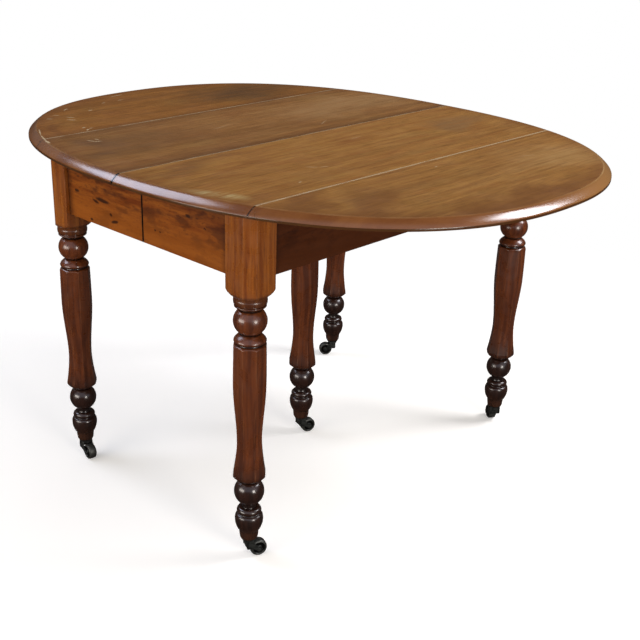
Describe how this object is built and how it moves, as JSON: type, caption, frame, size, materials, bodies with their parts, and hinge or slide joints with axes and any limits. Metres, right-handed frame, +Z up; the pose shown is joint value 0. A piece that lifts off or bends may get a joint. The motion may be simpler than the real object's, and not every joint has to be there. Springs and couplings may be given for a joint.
{
  "type": "extending drop-leaf dining table",
  "caption": "Oval wooden dining table with folding D-shaped leaves on rule joints, telescopic slides that part the top at its middle seam, and turned legs on swivel casters.",
  "frame": {"origin": "on the floor, under the middle of the top", "axes": "+X along the seams of the top, +Y across them towards the back leaf, +Z up"},
  "size_m": [1.024, 1.29, 0.737],
  "materials": {
    "polished_top": "old French polish on walnut, worn at the edges",
    "polished_frame": "old French polish on walnut, orange-brown with dark blotches",
    "polished_leg": "dark glossy French polish on turned walnut",
    "bare_wood": "bare, dusty birch",
    "iron": "blackened, worn",
    "brass": "dull, tarnished"
  },
  "bodies": {
    "centre": {"leg_centre": "polished_leg", "bearer": "bare_wood", "rail_centre_left": "bare_wood", "rail_centre_right": "bare_wood", "caster_plate_centre": "iron"},
    "half_front": {"board_front": "polished_top", "apron_side_front": "polished_frame", "leg_front_left": "polished_leg", "apron_end_front_left": "polished_frame", "rail_front_left": "bare_wood", "keeper_front_left": "bare_wood", "hinge_board_plate_front_left": "brass", "caster_plate_front_left": "iron", "leg_front_right": "polished_leg", "apron_end_front_right": "polished_frame", "rail_front_right": "bare_wood", "keeper_front_right": "bare_wood", "hinge_board_plate_front_right": "brass", "caster_plate_front_right": "iron"},
    "leaf_front": {"leaf_front": "polished_top", "hinge_leaf_plate_front_left": "brass", "hinge_leaf_plate_front_right": "brass"},
    "loper_front_left": {"loper_front_left": "bare_wood"},
    "loper_front_right": {"loper_front_right": "bare_wood"},
    "half_back": {"board_back": "polished_top", "apron_side_back": "polished_frame", "leg_back_left": "polished_leg", "apron_end_back_left": "polished_frame", "rail_back_left": "bare_wood", "keeper_back_left": "bare_wood", "hinge_board_plate_back_left": "brass", "caster_plate_back_left": "iron", "leg_back_right": "polished_leg", "apron_end_back_right": "polished_frame", "rail_back_right": "bare_wood", "keeper_back_right": "bare_wood", "hinge_board_plate_back_right": "brass", "caster_plate_back_right": "iron", "peg_1": "bare_wood", "peg_2": "bare_wood", "peg_3": "bare_wood"},
    "leaf_back": {"leaf_back": "polished_top", "hinge_leaf_plate_back_left": "brass", "hinge_leaf_plate_back_right": "brass"},
    "loper_back_left": {"loper_back_left": "bare_wood"},
    "loper_back_right": {"loper_back_right": "bare_wood"},
    "caster_front_left": {"caster_horn_front_left": "iron"},
    "wheel_front_left": {"caster_wheel_front_left": "iron"},
    "caster_front_right": {"caster_horn_front_right": "iron"},
    "wheel_front_right": {"caster_wheel_front_right": "iron"},
    "caster_back_left": {"caster_horn_back_left": "iron"},
    "wheel_back_left": {"caster_wheel_back_left": "iron"},
    "caster_back_right": {"caster_horn_back_right": "iron"},
    "wheel_back_right": {"caster_wheel_back_right": "iron"},
    "caster_centre": {"caster_horn_centre": "iron"},
    "wheel_centre": {"caster_wheel_centre": "iron"}
  },
  "joints": [
    {"name": "extend_front", "type": "slide", "parent": "centre", "child": "half_front", "axis": [0, -1, 0], "range_m": [0, 0.25]},
    {"name": "fold_leaf_front", "type": "hinge", "parent": "half_front", "child": "leaf_front", "pos_m": [0, -0.3165, 0.721], "axis": [1, 0, 0], "range_deg": [0, 90]},
    {"name": "pull_loper_front_left", "type": "slide", "parent": "half_front", "child": "loper_front_left", "axis": [0, 1, 0], "range_m": [-0.175, 0]},
    {"name": "pull_loper_front_right", "type": "slide", "parent": "half_front", "child": "loper_front_right", "axis": [0, 1, 0], "range_m": [-0.175, 0]},
    {"name": "extend_back", "type": "slide", "parent": "centre", "child": "half_back", "axis": [0, 1, 0], "range_m": [0, 0.25]},
    {"name": "fold_leaf_back", "type": "hinge", "parent": "half_back", "child": "leaf_back", "pos_m": [0, 0.3165, 0.721], "axis": [-1, 0, 0], "range_deg": [0, 90]},
    {"name": "pull_loper_back_left", "type": "slide", "parent": "half_back", "child": "loper_back_left", "axis": [0, -1, 0], "range_m": [-0.175, 0]},
    {"name": "pull_loper_back_right", "type": "slide", "parent": "half_back", "child": "loper_back_right", "axis": [0, -1, 0], "range_m": [-0.175, 0]},
    {"name": "swivel_front_left", "type": "hinge", "parent": "half_front", "child": "caster_front_left", "pos_m": [-0.42, -0.276, 0.041], "axis": [0, 0, 1], "continuous": true},
    {"name": "roll_front_left", "type": "hinge", "parent": "caster_front_left", "child": "wheel_front_left", "pos_m": [-0.40264, -0.28373, 0.0175], "axis": [0.4067, 0.9135, 0], "continuous": true},
    {"name": "swivel_front_right", "type": "hinge", "parent": "half_front", "child": "caster_front_right", "pos_m": [0.42, -0.276, 0.041], "axis": [0, 0, 1], "continuous": true},
    {"name": "roll_front_right", "type": "hinge", "parent": "caster_front_right", "child": "wheel_front_right", "pos_m": [0.43117, -0.26063, 0.0175], "axis": [-0.809, 0.5878, 0], "continuous": true},
    {"name": "swivel_back_left", "type": "hinge", "parent": "half_back", "child": "caster_back_left", "pos_m": [-0.42, 0.276, 0.041], "axis": [0, 0, 1], "continuous": true},
    {"name": "roll_back_left", "type": "hinge", "parent": "caster_back_left", "child": "wheel_back_left", "pos_m": [-0.42264, 0.25718, 0.0175], "axis": [0.9903, -0.1392, 0], "continuous": true},
    {"name": "swivel_back_right", "type": "hinge", "parent": "half_back", "child": "caster_back_right", "pos_m": [0.42, 0.276, 0.041], "axis": [0, 0, 1], "continuous": true},
    {"name": "roll_back_right", "type": "hinge", "parent": "caster_back_right", "child": "wheel_back_right", "pos_m": [0.40544, 0.28821, 0.0175], "axis": [-0.6428, -0.766, 0], "continuous": true},
    {"name": "swivel_centre", "type": "hinge", "parent": "centre", "child": "caster_centre", "pos_m": [0.022, 0.012, 0.041], "axis": [0, 0, 1], "continuous": true},
    {"name": "roll_centre", "type": "hinge", "parent": "caster_centre", "child": "wheel_centre", "pos_m": [0.04007, 0.00613, 0.0175], "axis": [0.309, 0.9511, 0], "continuous": true}
  ]
}
